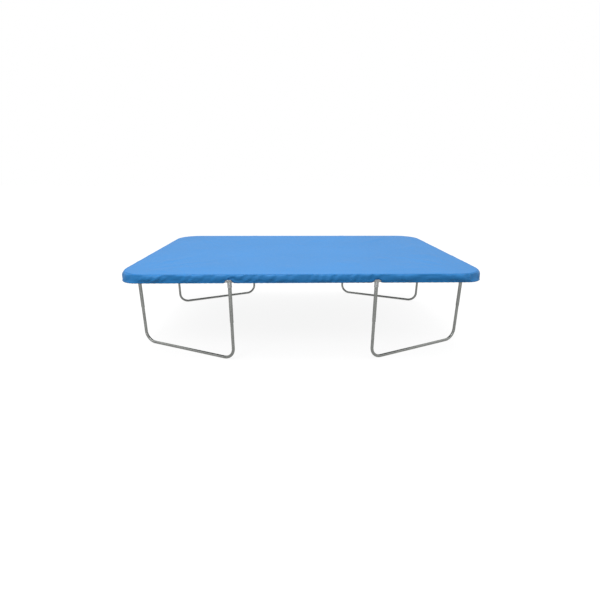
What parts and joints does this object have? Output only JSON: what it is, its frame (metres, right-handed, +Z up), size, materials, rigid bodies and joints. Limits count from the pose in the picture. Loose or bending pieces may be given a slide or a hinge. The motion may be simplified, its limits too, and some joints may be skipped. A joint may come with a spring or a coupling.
{
  "type": "trampoline",
  "caption": "Rectangular garden trampoline on U-shaped tube legs, with a sprung jump mat, safety pads and a fitted blue weather cover.",
  "frame": {"origin": "on the floor, under the middle of the frame", "axes": "+X along the long side, +Z up, -Y towards the front"},
  "size_m": [3.7, 2.48, 0.944],
  "materials": {
    "galvanised_tube": "dull spangled zinc",
    "socket_zinc": "pale dull zinc",
    "zinc_fastener": "bright zinc plate",
    "spring_steel": "bright zinc plate",
    "mat_cloth": "woven, matt",
    "pad_vinyl": "satin vinyl over foam",
    "cover_cloth": "woven, coated, satin"
  },
  "bodies": {
    "frame": {"tee_front_left_side": "socket_zinc", "upright_front_left_side": "galvanised_tube", "bolt_front_left_side": "zinc_fastener", "nut_front_left_side": "zinc_fastener", "tee_front_left_end": "socket_zinc", "upright_front_left_end": "galvanised_tube", "bolt_front_left_end": "zinc_fastener", "nut_front_left_end": "zinc_fastener", "tee_front_right_side": "socket_zinc", "upright_front_right_side": "galvanised_tube", "bolt_front_right_side": "zinc_fastener", "nut_front_right_side": "zinc_fastener", "tee_front_right_end": "socket_zinc", "upright_front_right_end": "galvanised_tube", "bolt_front_right_end": "zinc_fastener", "nut_front_right_end": "zinc_fastener", "tee_rear_left_side": "socket_zinc", "upright_rear_left_side": "galvanised_tube", "bolt_rear_left_side": "zinc_fastener", "nut_rear_left_side": "zinc_fastener", "tee_rear_left_end": "socket_zinc", "upright_rear_left_end": "galvanised_tube", "bolt_rear_left_end": "zinc_fastener", "nut_rear_left_end": "zinc_fastener", "tee_rear_right_side": "socket_zinc", "upright_rear_right_side": "galvanised_tube", "bolt_rear_right_side": "zinc_fastener", "nut_rear_right_side": "zinc_fastener", "tee_rear_right_end": "socket_zinc", "upright_rear_right_end": "galvanised_tube", "bolt_rear_right_end": "zinc_fastener", "nut_rear_right_end": "zinc_fastener", "leg_base_front_left": "galvanised_tube", "rail_corner_front_left": "galvanised_tube", "leg_base_front_right": "galvanised_tube", "rail_corner_front_right": "galvanised_tube", "leg_base_rear_left": "galvanised_tube", "rail_corner_rear_left": "galvanised_tube", "leg_base_rear_right": "galvanised_tube", "rail_corner_rear_right": "galvanised_tube", "rail_front": "galvanised_tube", "rail_rear": "galvanised_tube", "rail_left": "galvanised_tube", "rail_right": "galvanised_tube", "springs_front": "spring_steel", "springs_rear": "spring_steel", "springs_left": "spring_steel", "springs_right": "spring_steel", "spring_corner_front_left": "spring_steel", "spring_corner_front_right": "spring_steel", "spring_corner_rear_left": "spring_steel", "spring_corner_rear_right": "spring_steel", "pad_front": "pad_vinyl", "pad_rear": "pad_vinyl", "pad_left": "pad_vinyl", "pad_right": "pad_vinyl"},
    "mat": {"jump_mat": "mat_cloth"},
    "cover": {"cover_top": "cover_cloth", "cover_skirt": "cover_cloth"}
  },
  "joints": [
    {"name": "mat_bounce", "type": "slide", "parent": "frame", "child": "mat", "axis": [0, 0, 1], "range_m": [-0.2, 0], "stiffness_N_per_m": 5000, "springref_m": 0.02, "deforming": ["springs_front", "springs_rear", "springs_left", "springs_right", "spring_corner_front_left", "spring_corner_front_right", "spring_corner_rear_left", "spring_corner_rear_right"]},
    {"name": "cover_lift", "type": "slide", "parent": "frame", "child": "cover", "axis": [0, 0, 1], "range_m": [0, 0.45]}
  ]
}
